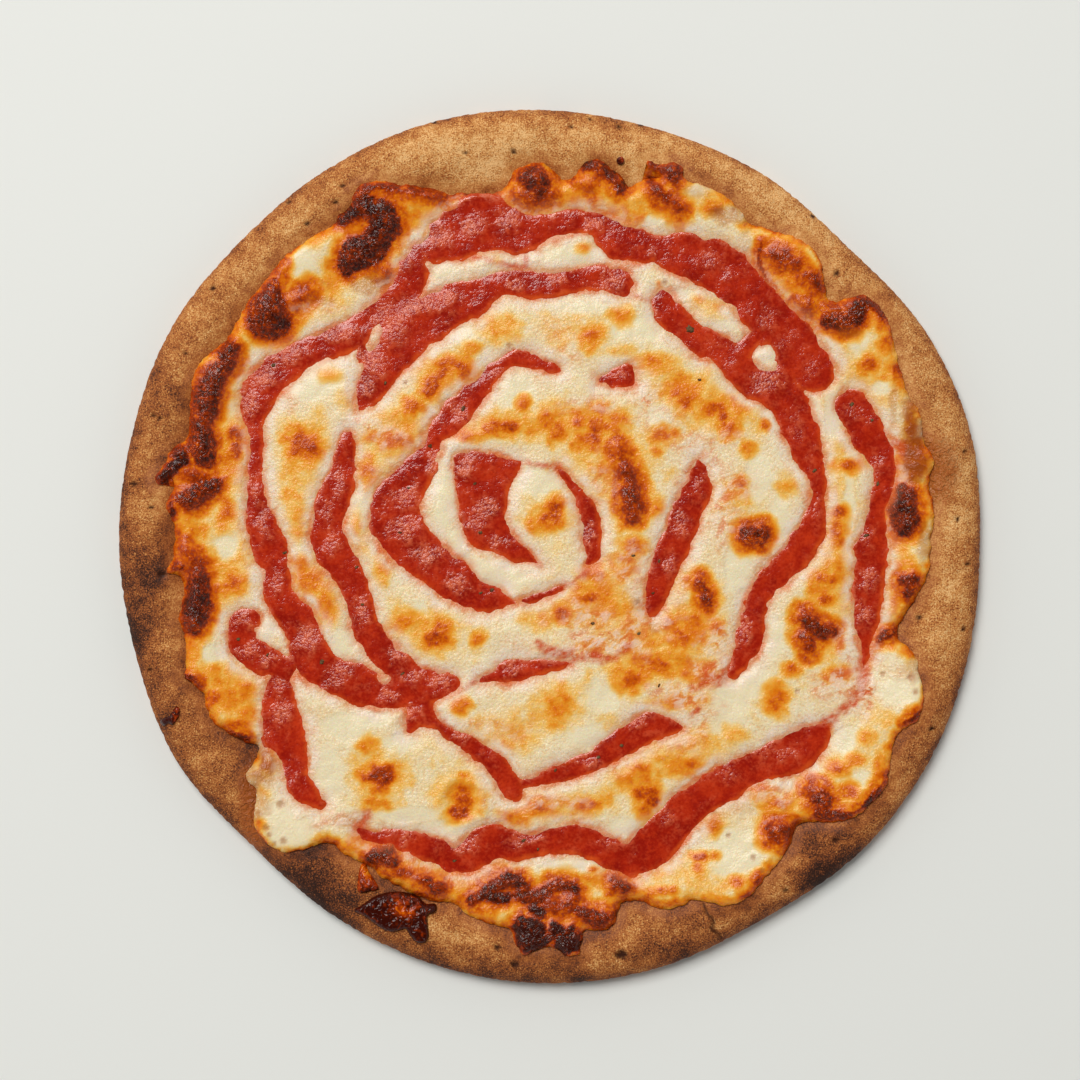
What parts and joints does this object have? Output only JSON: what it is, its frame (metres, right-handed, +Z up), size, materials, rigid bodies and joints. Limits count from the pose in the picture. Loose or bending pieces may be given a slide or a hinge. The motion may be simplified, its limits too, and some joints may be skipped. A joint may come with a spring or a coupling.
{
  "type": "cheese pizza",
  "caption": "Whole uncut cheese pizza: round thin crust with a low raised rim, browned melted cheese and curved strokes of tomato sauce.",
  "frame": {"origin": "middle of the base, on the surface that the pizza lies on", "axes": "+Z up, +Y towards the top of the picture, +X towards its right"},
  "size_m": [0.3007, 0.305, 0.0134],
  "materials": {
    "crust": "baked bread crust, matt, speckled with darker grains, browned at its edge",
    "cheese": "melted cheese, satin to greasy, cream with toasted and burnt blisters",
    "sauce": "cooked tomato sauce, wet sheen over fine pulp, with herb flecks",
    "burnt_cheese": "burnt cheese, dark mahogany, wrinkled and glossy"
  },
  "bodies": {
    "root": {"crust": "crust", "cheese": "cheese", "sauce_network": "sauce", "sauce_right": "sauce", "sauce_bottom": "sauce", "sauce_ring": "sauce", "sauce_arc": "sauce", "sauce_bar": "sauce", "sauce_dash": "sauce", "sauce_dab": "sauce", "sauce_heart": "sauce", "burnt_shard": "burnt_cheese"}
  },
  "joints": []
}
